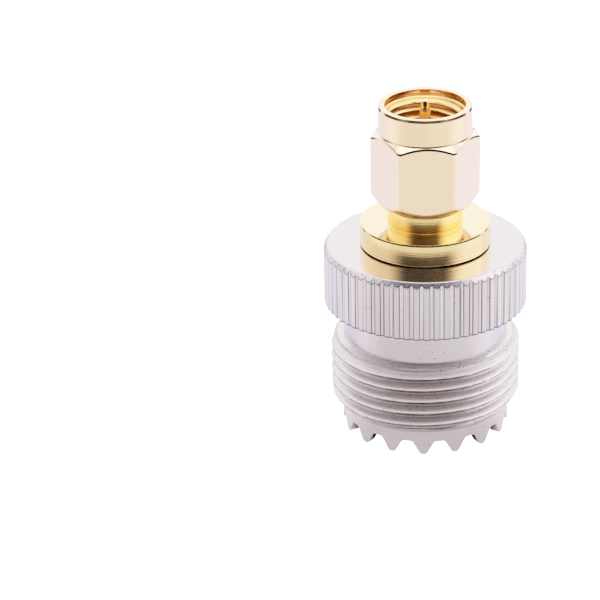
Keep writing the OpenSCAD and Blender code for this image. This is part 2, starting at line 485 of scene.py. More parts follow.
class ShapeTree:
    """Geometry Nodes tree that makes one mesh from another and gives it its finish."""

    name: str
    inputs: dict[str, float]

    def __init__(self) -> None:
        """Lay out the inputs, shape the mesh, dress it and lead it to the output."""
        self.tree = bpy.data.node_groups.new(self.name, "GeometryNodeTree")
        face = self.tree.interface
        face.new_socket("Mesh", in_out="INPUT", socket_type="NodeSocketGeometry")
        for name, value in self.inputs.items():
            kind = "NodeSocketInt" if isinstance(value, int) else "NodeSocketFloat"
            face.new_socket(name, in_out="INPUT", socket_type=kind).default_value = value
        face.new_socket("Finish", in_out="INPUT", socket_type="NodeSocketMaterial")
        face.new_socket("Dressed", in_out="OUTPUT", socket_type="NodeSocketGeometry")
        self.graph = Graph(self.tree)
        group = self.tree.nodes.new("NodeGroupInput")
        self.value = {s.name: Sock(self.graph, s) for s in group.outputs if s.name}
        whole = self.graph.node("GeometryNodeRealizeInstances", {}, {"Geometry": self.shape()})
        dressed = self.graph.node("GeometryNodeSetMaterial", {},
                                  {"Geometry": whole, "Material": self.value["Finish"]})
        out = self.tree.nodes.new("NodeGroupOutput")
        self.graph.feed(out.inputs["Dressed"], dressed)

    def shape(self) -> Sock:
        """The shaped mesh."""
        raise NotImplementedError


class TurningTree(ShapeTree):
    """Turns a half section about Z.

    On the way round it cuts the crown's notches, the knurl's grooves, the nut's flats and a thread,
    each only where the rows carry its weight.
    """

    name = "turning"
    inputs = {
        "Segments": 96,
        "Turn": 0.0,
        "Thread Side": 1.0,
        "Thread Pitch": 0.0,
        "Thread Foot": 0.0,
        "Thread Top": 0.0,
        "Thread Foot Radius": 0.0,
        "Thread Top Radius": 0.0,
        "Thread Foot Slope": 1.0,
        "Thread Top Slope": 1.0,
        "Teeth": 1.0,
        "Notch Depth": 0.0,
        "Notch Mouth": 1.0,
        "Notch Root": 0.0,
        "Ridges": 1.0,
        "Ridge Offset": 0.0,
        "Ridge Top": 0.3,
        "Groove Floor": 0.25,
        "Flats": 6.0,
        "Apothem": 0.0,
        "Corner Radius": 1.0,
    }
    merge_distance = 4e-7
    notch_ease = 0.45
    groove_ease = 0.5

    def _row_value(self, source: Sock, row: Sock, kind: str) -> Sock:
        """Value of one row of the section."""
        return self.graph.node("GeometryNodeSampleIndex", {"data_type": kind, "domain": "POINT"},
                               {"Geometry": self.value["Mesh"], "Value": source, "Index": row})

    def _weight(self, name: str, row: Sock) -> Sock:
        """Weight of one row of the section."""
        stored = self.graph.node("GeometryNodeInputNamedAttribute", {"data_type": "FLOAT"},
                                 {"Name": name})
        return self._row_value(stored, row, "FLOAT")

    def shape(self) -> Sock:
        """Lay the grid of rows and columns, place its points and close the seam.

        Returns:
            The turned mesh.
        """
        graph, value = self.graph, self.value
        rows = graph.node("GeometryNodeAttributeDomainSize", {"component": "MESH"},
                          {"Geometry": value["Mesh"]}, "Point Count")
        grid = graph.node("GeometryNodeMeshGrid", {},
                          {"Vertices X": value["Segments"] + 1.0, "Vertices Y": rows}, "Mesh")
        index = graph.node("GeometryNodeInputIndex")
        column = (index / rows).fn("FLOOR")
        row = index - column * rows
        around = column / value["Segments"]
        place = self._row_value(graph.node("GeometryNodeInputPosition"), row, "FLOAT_VECTOR")
        r, _, z = graph.axes(place)
        weight = {name: self._weight(name, row) for name in ROW_WEIGHTS}

        r, z = self._thread(r, z, around, weight["slant"])
        z = z + weight["crown"] * self._notch(r, around)
        groove = self._groove(around)
        r, z = r + groove * weight["ridge_r"], z + groove * weight["ridge_z"]
        push = self._flat(around) - value["Apothem"]
        r, z = r + push * weight["hexagon"], z + push * weight["hexagon_rise"]

        angle = value["Turn"] + around * math.tau
        spot = graph.vector(r * angle.fn("SINE"), -(r * angle.fn("COSINE")), z)
        placed = graph.node("GeometryNodeSetPosition", {}, {"Geometry": grid, "Position": spot})
        return graph.node("GeometryNodeMergeByDistance", {},
                          {"Geometry": placed, "Distance": self.merge_distance})

    def _thread(self, r: Sock, z: Sock, around: Sock, slant: Sock) -> tuple[Sock, Sock]:
        """Let the thread's rows climb, cut off by the runouts at its foot and top.

        Args:
            r: the rows' distance from the axis.
            z: their level.
            around: share of the way round.
            slant: their weight for the thread.

        Returns:
            The new distance and level.
        """
        value, side = self.value, self.value["Thread Side"]
        low, high = value["Thread Foot"], value["Thread Top"]
        climbed = (z + around * value["Thread Pitch"]).max(low).min(high)
        foot = side * value["Thread Foot Radius"] + (climbed - low) * value["Thread Foot Slope"]
        top = side * value["Thread Top Radius"] + (high - climbed) * value["Thread Top Slope"]
        held = (side * r).min(foot).min(top) * side
        return r + slant * (held - r), z + slant * (climbed - z)

    def _notch(self, r: Sock, around: Sock) -> Sock:
        """Height of the notch floor between the crown's teeth.

        Args:
            r: distance from the axis.
            around: share of the way round.

        Returns:
            The height, 0 on a tooth.
        """
        value = self.value
        turn = ((around * value["Teeth"]).fn("FRACT") - 0.5) * math.tau / value["Teeth"]
        across = abs(r * turn.fn("SINE"))
        wall = (value["Notch Mouth"] - across) / (value["Notch Mouth"] - value["Notch Root"])
        return wall.clamp().ease(self.notch_ease) * value["Notch Depth"]

    def _groove(self, around: Sock) -> Sock:
        """Place between the ridges and the grooves of the knurl.

        Args:
            around: share of the way round.

        Returns:
            1 on a groove's floor and 0 on a ridge.
        """
        value = self.value
        share = around * value["Ridges"] - value["Ridge Offset"] + 0.5
        away = abs(share.fn("FRACT") - 0.5)
        edge = 0.5 - value["Ridge Top"] * 0.5
        wall = (edge - away) / (edge - value["Groove Floor"] * 0.5)
        return wall.clamp().ease(self.groove_ease)

    def _flat(self, around: Sock) -> Sock:
        """Distance of the hexagon's wall from the axis, with its corners broken.

        Args:
            around: share of the way round.

        Returns:
            The distance.
        """
        value = self.value
        turn = ((around * value["Flats"] + 0.5).fn("FRACT") - 0.5) * math.tau / value["Flats"]
        wall = value["Apothem"] / turn.fn("COSINE")
        return wall.min(value["Corner Radius"])


class SlotTree(ShapeTree):
    """Saws two crossed slots into a contact."""

    name = "spring_slots"
    inputs = {"Width": 0.0, "Foot": 0.0, "Top": 0.0, "Reach": 0.0, "Turn": 0.0}
    saw_turns = (0.0, math.tau / 4)

    def shape(self) -> Sock:
        """Cut the contact with one blade for each slot.

        Returns:
            The slotted mesh.
        """
        graph, value = self.graph, self.value
        height = value["Top"] - value["Foot"]
        size = graph.vector(value["Reach"], value["Width"], height)
        blade = graph.node("GeometryNodeMeshCube", {}, {"Size": size}, "Mesh")
        level = graph.vector(z=value["Foot"] + height * 0.5)
        cut = value["Mesh"]
        for saw_turn in self.saw_turns:
            turn = graph.vector(z=value["Turn"] + saw_turn)
            saw = graph.node("GeometryNodeTransform", {},
                             {"Geometry": blade, "Translation": level, "Rotation": turn})
            cut = graph.node("GeometryNodeMeshBoolean", {"operation": "DIFFERENCE", "solver": "EXACT"},
                             {"Mesh 1": cut, "Mesh 2": saw}, "Mesh")
        return cut


class Turner:
    """Makes plain meshes with the turning tree."""

    sharp_angle = math.radians(34.0)
    least_edge = 1e-7

    def __init__(self) -> None:
        """Build the tree once for all turned pieces."""
        self.turning = TurningTree()

    @staticmethod
    def evaluate(mesh: bpy.types.Mesh, shape: ShapeTree, values: dict[str, Any]) -> bpy.types.Mesh:
        """Run a tree on a mesh.

        Args:
            mesh: what the tree starts from; it is removed afterwards.
            shape: the tree.
            values: the tree's inputs by name.

        Returns:
            The result as a plain mesh.
        """
        carrier = bpy.data.objects.new("carrier", mesh)
        bpy.context.scene.collection.objects.link(carrier)
        modifier = carrier.modifiers.new("tree", "NODES")
        modifier.node_group = shape.tree
        for item in shape.tree.interface.items_tree:
            if item.in_out == "INPUT" and item.name in values:
                modifier[item.identifier] = values[item.name]
        evaluated = carrier.evaluated_get(bpy.context.evaluated_depsgraph_get())
        result = bpy.data.meshes.new_from_object(evaluated)
        carrier.modifiers.remove(modifier)
        bpy.data.objects.remove(carrier)
        bpy.data.meshes.remove(mesh)
        return result

    def turn(
        self,
        name: str,
        outline: Outline,
        finish: bpy.types.Material,
        segments: int,
        values: dict[str, float] | None = None,
    ) -> bpy.types.Object:
        """Turn one piece.

        Args:
            name: name of the piece.
            outline: its half section.
            finish: its material.
            segments: columns around the axis.
            values: the tree's other inputs.

        Returns:
            The new object, at the origin.
        """
        inputs: dict[str, Any] = {"Segments": segments, "Finish": finish, **(values or {})}
        return self.piece(name, self.evaluate(outline.mesh(name), self.turning, inputs))

    def piece(self, name: str, mesh: bpy.types.Mesh) -> bpy.types.Object:
        """Close and shade a mesh and make it an object.

        Args:
            name: name of the piece.
            mesh: its mesh.

        Returns:
            The new object.
        """
        shape = bmesh.new()
        shape.from_mesh(mesh)
        bmesh.ops.dissolve_degenerate(shape, dist=self.least_edge, edges=shape.edges)
        bmesh.ops.recalc_face_normals(shape, faces=shape.faces)
        shape.to_mesh(mesh)
        shape.free()
        for weight in ROW_WEIGHTS:
            if weight in mesh.attributes:
                mesh.attributes.remove(mesh.attributes[weight])
        mesh.shade_smooth()
        mesh.set_sharp_from_angle(angle=self.sharp_angle)
        mesh.name = name
        made = bpy.data.objects.new(name, mesh)
        bpy.context.scene.collection.objects.link(made)
        return made


def dress(piece: bpy.types.Object, node: str, body: Body) -> None:
    """Put a piece in a node's place.

    Args:
        piece: the finished piece.
        node: the node that it stands for.
        body: the body that it rides on.
    """
    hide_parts(node)
    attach(piece, body.value)
    LOG.info("%s: %d faces on %s", piece.name, len(piece.data.polygons), body.value)


# Sizes that more than one class needs

JACK_TURN = -1.2
KNURL_RIDGES = 64
UHF_THREAD = Thread(
    side=Side.OUTSIDE,
    pitch=INCH / 24,
    crest_r=7.9375,
    root_r=7.30,
    foot_z=2.15,
    top_z=8.45,
    foot_r=7.0,
    top_r=6.9,
    crest_z=3.22,
    top_slope=2.2,
    crest_share=0.07,
    root_share=0.12,
)
SMA_THREAD = Thread(
    side=Side.INSIDE,
    pitch=INCH / 36,
    crest_r=2.83,
    root_r=3.16,
    foot_z=24.09,
    top_z=28.15,
    foot_r=3.18,
    top_r=3.34,
    crest_z=27.4,
    top_slope=1.275,
    rows_per_turn=10,
)


# Finishes


class Finish:
    """A surface finish that makes one material."""

    slot: Slot

    def start(self) -> tuple[bpy.types.Material, Graph, bpy.types.ShaderNodeBsdfPrincipled]:
        """Make an empty material with its shader and output.

        Returns:
            The material, its graph and its shader.
        """
        material = bpy.data.materials.new(self.slot.value)
        material.use_nodes = True
        tree = material.node_tree
        tree.nodes.clear()
        shader = tree.nodes.new("ShaderNodeBsdfPrincipled")
        out = tree.nodes.new("ShaderNodeOutputMaterial")
        tree.links.new(shader.outputs["BSDF"], out.inputs["Surface"])
        return material, Graph(tree), shader

    @staticmethod
    def bump(graph: Graph, shader: bpy.types.ShaderNodeBsdfPrincipled, height: Sock,
             depth: float) -> None:
        """Lead a height, which is depth millimetres at 1, to the shader's normal."""
        sockets = {"Strength": 1.0, "Distance": depth * MM, "Height": height}
        graph.feed(shader.inputs["Normal"], graph.node("ShaderNodeBump", {}, sockets))

    def material(self) -> bpy.types.Material:
        """The finished material."""
        raise NotImplementedError


@dataclass(frozen=True)
class Zone:
    """Ring between two radii and two levels in which a plate differs.

    tint is the colour there, on some zones the plate's own and on others painted shade or painted light;
    roughness and specks are added to the plate's own and marks multiplies the depth of the tool's marks.
    With rise the levels climb with the radius, as on a cone.
    """

    r: Span
    z: Span
    tint: Colour | None = None
    roughness: float = 0.0
    marks: float = 1.0
    specks: float = 0.0
    rise: float = 0.0

    soft = 0.04

    def share(self, r: Sock, z: Sock) -> Sock:
        """Mask of the zone.

        Args:
            r: distance from the axis in millimetres.
            z: level in millimetres.

        Returns:
            1 inside the zone and 0 outside.
        """
        level = z - r * self.rise if self.rise else z
        across, along = (
            value.band(low - self.soft, low, high, high + self.soft)
            for value, (low, high) in ((r, self.r), (level, self.z))
        )
        return across * along


@dataclass(frozen=True)
class BrightPlate(Finish):
    """Thin bright plate over turned brass, with the tool's marks showing through."""

    slot: Slot
    plate: Colour
    shade: Colour
    speck: Colour
    roughness: float
    roughness_range: float
    mark_depth: float
    speck_share: float
    zones: tuple[Zone, ...] = ()
    # Colour of the painted highlight lines.
    gleam: Colour = (0.9, 0.88, 0.89)

    cloud_scale = 420.0
    cloud_detail = 3.0
    cloud_gain = 1.6
    mark_grain = 7.0
    mark_slope = 1.3
    mark_detail = 3.0
    speck_scale = 5200.0
    speck_detail = 1.0
    speck_soft = 0.05
    speck_dark = 0.6
    speck_rough = 0.2
    speck_sunk = 0.5

    def shade_and_highlight_lines(self, graph: Graph, around: Sock, r: Sock, z: Sock) -> tuple[Sock, Sock] | None:
        """Lines of painted shade and painted highlight besides the specks: none on a plain plate."""
        return None

    def material(self) -> bpy.types.Material:
        """Make the plate with its clouds, its zones (some of them painted shade or painted light),
        specks, tool marks and lines of painted shade and painted highlight.

        Returns:
            The finished material.
        """
        material, graph, shader = self.start()
        place = graph.node("ShaderNodeTexCoord", {}, {}, "Object")
        x, y, z = (axis / MM for axis in graph.axes(place))
        r = (x * x + y * y).fn("SQRT")
        clouds = graph.noise(self.cloud_scale, self.cloud_detail, place) - 0.5
        tone = graph.mix(clouds * self.cloud_gain + 0.5, self.plate, self.shade)
        roughness = self.roughness + clouds * self.roughness_range
        grain = graph.noise(self.speck_scale, self.speck_detail, place)
        depth: Operand = 1.0
        for zone in self.zones:
            share = zone.share(r, z)
            roughness = roughness + share * zone.roughness
            depth = depth + share * (zone.marks - 1.0)
            grain = grain + share * zone.specks
            if zone.tint:
                tone = graph.mix(share, tone, zone.tint)
        specks = grain.ramp(self.speck_share, self.speck_share + self.speck_soft)
        marks = graph.lines((z + r * self.mark_slope) * self.mark_grain, self.mark_detail) * depth
        dark = specks * self.speck_dark
        # Lines of painted shade darken the tone; lines of painted highlight lighten it towards the gleam
        # colour.
        shade_and_highlight_lines = self.shade_and_highlight_lines(graph, graph.bearing(x, y), r, z)
        if shade_and_highlight_lines:
            dark = dark.max(shade_and_highlight_lines[0])
            tone = graph.mix(shade_and_highlight_lines[1], tone, self.gleam)
        graph.feed(shader.inputs["Base Color"], graph.mix(dark, tone, self.speck))
        graph.feed(shader.inputs["Roughness"], roughness + specks * self.speck_rough)
        graph.feed(shader.inputs["Metallic"], 1.0)
        self.bump(graph, shader, marks - specks * self.speck_sunk, self.mark_depth)
        return material


@dataclass(frozen=True)
class JackPlate(BrightPlate):
    """Bright plate with fine lines of painted shade and painted highlight on the jack's knurl and
    thread.

    Of the knurl's widths, groove_half, line_half and gleam_gap are shares of a ridge's pitch; of the
    thread's, thread_line and thread_lead are shares of its pitch.
    """

    # Painted shade and painted highlight lines on the knurl, within this zone.
    knurl: Zone = Zone(r=(8.0, 8.6), z=(11.35, 16.42))
    ridge_turn: float = 3.7
    groove_half: float = 0.2
    line_half: float = 0.085
    line_depth: float = 0.95
    line_least: float = 0.22
    # line_facing and line_least weaken the painted shade lines towards the sides, which are lit
    # brighter.
    line_facing: Span = (0.0, 0.6)
    line_grain: float = 2.3
    line_lean: float = 0.08
    line_gaps: Span = (0.22, 0.48)
    # The gleam settings shape the painted highlight lines beside the grooves.
    gleam_gap: float = 0.11
    gleam_depth: float = 0.6
    gleam_gaps: Span = (0.62, 0.42)
    # foot_line paints shade along the knurl's lower edge.
    foot_line: Span = (11.43, 11.50)

    # The scallop, ragged and top settings paint a line of shade along the chamfer's points and painted
    # shade over the chamfer above it.
    scallop: Span = (15.9, 16.3)
    scallop_soft: float = 0.04
    ragged_grain: float = 1.3
    ragged_detail: float = 2.0
    ragged_depth: float = 0.24
    top_edge: float = 0.03
    top_edge_half: float = 0.07
    top_grain: float = 1.7
    top_start: float = 40.0
    top_gaps: Span = (0.25, 0.45)
    top_fade: float = 0.06
    top_depth: float = 0.15

    # Painted shade lines under the thread's crests, within this zone.
    thread: Zone = Zone(r=(7.3, 8.0), z=(2.6, 7.6))
    thread_line: tuple[float, float, float, float] = (0.0, 0.04, 0.15, 0.22)
    thread_lead: float = 0.05
    thread_grain: Span = (0.1, 1.3)
    thread_detail: float = 3.0
    thread_gaps: Span = (0.15, 0.6)

    def shade_and_highlight_lines(self, graph: Graph, around: Sock, r: Sock, z: Sock) -> tuple[Sock, Sock]:
        """Lines of painted shade and painted highlight on the knurl and the thread.

        Args:
            graph: the material's graph.
            around: place around the axis, in degrees from the front.
            r: distance from the axis in millimetres.
            z: level in millimetres.

        Returns:
            The shares of painted shade and of painted highlight.
        """
        dark, light = self.knurl_shade_and_highlight(graph, around, z)
        knurl = self.knurl.share(r, z)
        thread = self.thread_painted_shade(graph, around, z) * self.thread.share(r, z)
        return (dark * knurl).max(thread), light * knurl

    def knurl_shade_and_highlight(self, graph: Graph, around: Sock, z: Sock) -> tuple[Sock, Sock]:
        """Painted shade lines at the grooves' edges, along the knurl's foot and along the chamfer's
        points, painted shade over the chamfer, and painted highlight lines beside the grooves' edges.

        Args:
            graph: the material's graph.
            around: place around the axis, in degrees from the front.
            z: level in millimetres.

        Returns:
            The shares of painted shade and of painted highlight.
        """
        phase = (around - self.ridge_turn) * (KNURL_RIDGES / 360.0)
        away = abs((phase + 0.5).fn("FRACT") - 0.5)
        uneven = graph.lines(phase * self.line_grain + z * self.line_lean)
        # Painted shade at the grooves' edges, weakened towards the sides, which are lit brighter.
        facing = (around / DEGREE).fn("COSINE")
        dark = self.stroke(away - self.groove_half, self.line_half) * uneven.ramp(*self.line_gaps)
        dark = dark * (facing * facing).ramp(*self.line_facing).blend(self.line_least, 1.0)
        # Painted highlight lines beside the grooves' edges.
        beside = away - (self.groove_half - self.gleam_gap)
        light = self.stroke(beside, self.line_half) * uneven.ramp(*self.gleam_gaps)
        # Painted shade along the chamfer's points and over the chamfer above them.
        low, high = self.scallop
        ragged = graph.lines(around * self.ragged_grain, self.ragged_detail) - 0.5
        top = z + ragged * self.ragged_depth - (high - away * 2.0 * (high - low))
        below = 1.0 - top.ramp(-self.scallop_soft, 0.0)
        broken = graph.lines(phase * self.top_grain + self.top_start).ramp(*self.top_gaps)
        edge = self.stroke(top - self.top_edge, self.top_edge_half) * broken
        edge = edge.max(top.ramp(0.0, self.top_fade) * self.top_depth)
        # Painted shade along the knurl's lower edge.
        foot = 1.0 - z.ramp(*self.foot_line)
        return (dark * below).max(foot).max(edge) * self.line_depth, light * below * self.gleam_depth

    def thread_painted_shade(self, graph: Graph, around: Sock, z: Sock) -> Sock:
        """Broken lines of painted shade under the thread's crests.

        Args:
            graph: the material's graph.
            around: place around the axis, in degrees from the front.
            z: level in millimetres.

        Returns:
            The share of painted shade.
        """
        climb = ((around - JACK_TURN) / 360.0).fn("FRACT")
        below = climb - (z - UHF_THREAD.crest_z) / UHF_THREAD.pitch + self.thread_lead
        grain_around, grain_z = self.thread_grain
        uneven = graph.lines(around * grain_around + z * grain_z, self.thread_detail)
        return below.fn("FRACT").band(*self.thread_line) * uneven.ramp(*self.thread_gaps)

    @staticmethod
    def stroke(away: Sock, half: float) -> Sock:
        """Soft line about the place where a value passes 0."""
        return (1.0 - abs(away) / half).clamp().ease(1.0)


@dataclass(frozen=True)
class Moulding(Finish):
    """Plain moulded or machined plastic or rubber with a fine grain."""

    slot: Slot
    colour: Colour
    shade: Colour
    roughness: float
    grain_depth: float

    cloud_scale = 900.0
    cloud_detail = 3.0
    grain_scale = 9000.0
    grain_detail = 2.0
    grain_rough = 0.2

    def material(self) -> bpy.types.Material:
        """Make the plain surface with its clouds and grain.

        Returns:
            The finished material.
        """
        material, graph, shader = self.start()
        place = graph.node("ShaderNodeTexCoord", {}, {}, "Object")
        clouds = graph.noise(self.cloud_scale, self.cloud_detail, place)
        grain = graph.noise(self.grain_scale, self.grain_detail, place)
        graph.feed(shader.inputs["Base Color"], graph.mix(clouds, self.colour, self.shade))
        graph.feed(shader.inputs["Roughness"], self.roughness + (grain - 0.5) * self.grain_rough)
        self.bump(graph, shader, grain, self.grain_depth)
        return material


GOLD = BrightPlate(
    slot=Slot.GOLD,
    plate=(0.95, 0.66, 0.30),
    shade=(0.93, 0.63, 0.27),
    speck=(0.62, 0.40, 0.16),
    roughness=0.10,
    roughness_range=0.05,
    mark_depth=0.0012,
    speck_share=0.72,
    zones=(
        Zone(r=(3.0, 3.16), z=(18.42, 20.3), tint=(0.94, 0.63, 0.255), roughness=0.08, marks=7.0),
        # Painted shade: a darker orange at the neck's foot, in the corner against the flange.
        Zone(r=(3.0, 3.16), z=(18.42, 18.9), tint=(0.90, 0.55, 0.15), roughness=0.04),
        # Painted highlight: a paler gold on the flange's top face.
        Zone(r=(3.25, 5.36), z=(18.3, 18.6), tint=(0.955, 0.65, 0.345)),
        Zone(r=(5.35, 5.6), z=(16.5, 18.2), roughness=0.06, marks=7.0),
        # Painted sheen: the next two zones paint the nut's hexagon and its collar a paler gold; they
        # also take away the hexagon's tool marks and some specks.
        Zone(r=(3.42, 5.0), z=(20.2, 26.4), tint=(0.95, 0.66, 0.425), marks=0.0, specks=-0.05),
        Zone(r=(3.42, 5.0), z=(26.45, 29.0), tint=(0.955, 0.63, 0.38), specks=-0.05),
        # Painted shade: a dark band on the nut's lower chamfer.
        Zone(r=(3.65, 4.6), z=(16.6, 16.86), rise=0.9, tint=(0.22, 0.15, 0.08)),
        # Painted shade: the neck's top, under the nut's foot, is painted dark.
        Zone(r=(3.0, 3.16), z=(19.8, 20.3), tint=(0.2, 0.13, 0.06)),
        # Painted reflection and shade: a darker, deeper orange inside the nut's mouth, on the sleeve and
        # on the pin; the added roughness and tool marks are the finish's own.
        Zone(r=(0.0, 3.40), z=(23.0, 28.4), tint=(0.86, 0.48, 0.19), roughness=0.16, marks=9.0),
        # Painted shade: dark brown in the roots of the nut's thread.
        Zone(r=(3.1, 3.22), z=(24.2, 28.1), tint=(0.55, 0.27, 0.08)),
    ),
)
NICKEL = JackPlate(
    slot=Slot.NICKEL,
    plate=(0.60, 0.53, 0.57),
    shade=(0.56, 0.49, 0.53),
    speck=(0.08, 0.07, 0.075),
    roughness=0.15,
    roughness_range=0.08,
    mark_depth=0.002,
    speck_share=0.70,
    zones=(
        Zone(r=(6.7, 7.1), z=(8.5, 11.35), marks=5.0),
        Zone(r=(7.1, 8.0), z=(2.2, 8.2), tint=(0.54, 0.47, 0.48),
             roughness=0.24, marks=2.0, specks=0.03),
        # Painted light: a lighter grey on the ledge at the thread's top end; its added roughness, tool
        # marks and specks are the finish's own.
        Zone(r=(6.86, 8.0), z=(7.95, 8.5), tint=(0.66, 0.60, 0.61),
             roughness=0.3, marks=5.0, specks=0.03),
        Zone(r=(8.1, 8.6), z=(15.85, 16.5), roughness=0.14, specks=0.06),
        Zone(r=(0.0, 6.02), z=(-0.1, 7.1), roughness=0.15),
    ),
)
BRONZE = BrightPlate(
    slot=Slot.BRONZE,
    plate=(0.66, 0.46, 0.28),
    shade=(0.56, 0.38, 0.22),
    speck=(0.30, 0.20, 0.12),
    roughness=0.3,
    roughness_range=0.1,
    mark_depth=0.002,
    speck_share=0.68,
)
DIELECTRIC = Moulding(
    slot=Slot.DIELECTRIC,
    colour=(0.90, 0.90, 0.88),
    shade=(0.86, 0.86, 0.83),
    roughness=0.42,
    grain_depth=0.002,
)
SILICONE = Moulding(
    slot=Slot.SILICONE,
    colour=(0.34, 0.045, 0.03),
    shade=(0.26, 0.03, 0.022),
    roughness=0.5,
    grain_depth=0.004,
)


# Sub-assemblies


@dataclass
class Seat:
    """Sizes that jack and plug share where the plug's spigot and pin end in the jack."""

    shell_h: float = 16.45
    wall_z: float = 14.85
    spigot_r: float = 4.0
    tail_r: float = 1.1
    tail_top: float = 16.0
    tail_floor: float = 14.61
    tail_bore_r: float = 0.5


@dataclass
class UhfJack(Seat):
    """Nickel shell with its crown, thread and knurl, and the insulator and contact inside it."""

    crown_r: float = 7.0
    crown_h: float = 2.15
    crown_levels: tuple[float, ...] = (1.0, 0.9, 0.75, 0.6, 0.45, 0.3, 0.15)
    teeth: int = 16
    notch_depth: float = 1.2
    notch_root: float = 0.75
    tooth_tip: float = 0.45
    tip_edge: float = 0.15
    tip_share: float = 0.3

    thread: Thread = UHF_THREAD
    neck_r: float = 6.85
    neck_top: float = 11.35
    neck_fillet: float = 0.05

    knurl_r: float = 8.5
    knurl_depth: float = 0.13
    knurl_chamfer: float = 0.3
    ridge_drop: float = 0.4
    groove_drop: float = 0.22
    knurl_edge: float = 0.12
    knurl_break: float = 0.06
    ridge_offset: float = 0.875
    ridge_top: float = 0.46
    groove_floor: float = 0.08
    top_strip: float = 1.0
    edge_strip: float = 0.5
    under_strip: float = 0.1

    mouth_r: float = 6.0
    mouth_depth: float = 7.0
    pocket_r: float = 5.75

    contact_r: float = 2.8
    contact_bore_r: float = 2.0
    contact_entry: float = 0.3
    contact_top: float = 14.01
    contact_floor: float = 13.21
    slot_w: float = 0.5
    slot_h: float = 4.6
    slot_reach: float = 8.4
    slot_turn: float = 45.0

    segments: int = 512
    insulator_segments: int = 160
    contact_segments: int = 120

    def build(self, turner: Turner, nickel: bpy.types.Material, gold: bpy.types.Material,
              white: bpy.types.Material) -> None:
        """Make and dress the three pieces.

        Args:
            turner: maker of turned meshes.
            nickel: finish of the shell.
            gold: finish of the contact.
            white: finish of the insulator.
        """
        shell = turner.turn("jack_shell", self.shell_outline(), nickel, self.segments,
                            self.shell_values())
        dress(shell, "uhf_shell", Body.ADAPTER)
        insulator = turner.turn("jack_insulator", self.insulator_outline(), white,
                                self.insulator_segments)
        dress(insulator, "uhf_insulator", Body.ADAPTER)
        contact = self.contact(turner, gold)
        dress(contact, "uhf_contact", Body.ADAPTER)

    def shell_values(self) -> dict[str, float]:
        """Inputs of the turning tree for the shell."""
        pitch = math.tau * self.crown_r / self.teeth
        return {
            "Turn": math.radians(JACK_TURN),
            "Teeth": self.teeth,
            "Notch Depth": self.notch_depth * MM,
            "Notch Mouth": (pitch - self.tooth_tip) / 2 * MM,
            "Notch Root": self.notch_root / 2 * MM,
            "Ridges": KNURL_RIDGES,
            "Ridge Offset": self.ridge_offset,
            "Ridge Top": self.ridge_top,
            "Groove Floor": self.groove_floor,
            **self.thread.inputs(),
        }

    def shell_outline(self) -> Outline:
        """Walls of the shell: rear hole, top, knurl, neck, thread, crown, mouth and pocket.

        Returns:
            The half section.
        """
        groove_r = self.knurl_r - self.knurl_depth
        outline = Outline()
        outline.path(
            Corner(self.spigot_r, self.wall_z),
            Corner(self.spigot_r, self.shell_h, Edge.BROKEN),
            Corner(self.spigot_r + self.top_strip, self.shell_h),
        )
        outline.paired(self.knurl_corners(self.knurl_r, self.ridge_drop),
                       self.knurl_corners(groove_r, self.groove_drop))
        outline.path(
            Corner(groove_r - self.under_strip, self.neck_top),
            Corner(self.neck_r, self.neck_top, self.neck_fillet),
            Corner(self.neck_r, self.thread.top_z, self.neck_fillet),
            Corner(self.thread.top_r, self.thread.top_z),
        )
        outline.add(self.thread.rows()[::-1])
        outline.add(self.crown_rows())
        return outline.path(
            Corner(self.mouth_r, self.crown_h),
            Corner(self.mouth_r, self.mouth_depth, Edge.FINE),
            Corner(self.pocket_r, self.mouth_depth, Edge.FINE),
            Corner(self.pocket_r, self.wall_z, Edge.BROKEN),
            Corner(self.spigot_r, self.wall_z),
        )

    def knurl_corners(self, wall_r: float, drop: float) -> tuple[Corner, ...]:
        """Corners of the knurled collar from its top to its underside.

        Args:
            wall_r: radius of the wall, on a ridge or in a groove.
            drop: height of the chamfer there.

        Returns:
            The corners.
        """
        edge_r = self.knurl_r - self.knurl_chamfer
        return (
            Corner(edge_r - self.edge_strip, self.shell_h),
            Corner(edge_r, self.shell_h, self.knurl_edge),
            Corner(wall_r, self.shell_h - drop, self.knurl_edge),
            Corner(wall_r, self.neck_top, self.knurl_break),
            Corner(wall_r - self.under_strip, self.neck_top),
        )

    def crown_rows(self) -> list[Row]:
        """Rows down the outside of the crown, across its tips and up into the mouth.

        Returns:
            The rows, with the notches' weight.
        """
        edge, tip = self.tip_edge, self.tip_edge * self.tip_share
        down = [(self.crown_r, self.crown_h * level) for level in self.crown_levels]
        down += [(self.crown_r, edge), (self.crown_r - tip, tip), (self.crown_r - edge, 0.0)]
        middle = (self.crown_r + self.mouth_r) / 2
        up = [(self.crown_r + self.mouth_r - r, z) for r, z in reversed(down)]
        return [Row(r, z, crown=1.0 - z / self.crown_h) for r, z in [*down, (middle, 0.0), *up]]

    def insulator_outline(self) -> Outline:
        """Walls of the white disc around the contact."""
        return Outline().path(
            Corner(self.contact_r, self.mouth_depth),
            Corner(self.contact_r, self.contact_top),
            Corner(self.tail_r, self.contact_top),
            Corner(self.tail_r, self.wall_z),
            Corner(self.pocket_r, self.wall_z),
            Corner(self.pocket_r, self.mouth_depth, Edge.SOFT),
            Corner(self.contact_r, self.mouth_depth),
        )

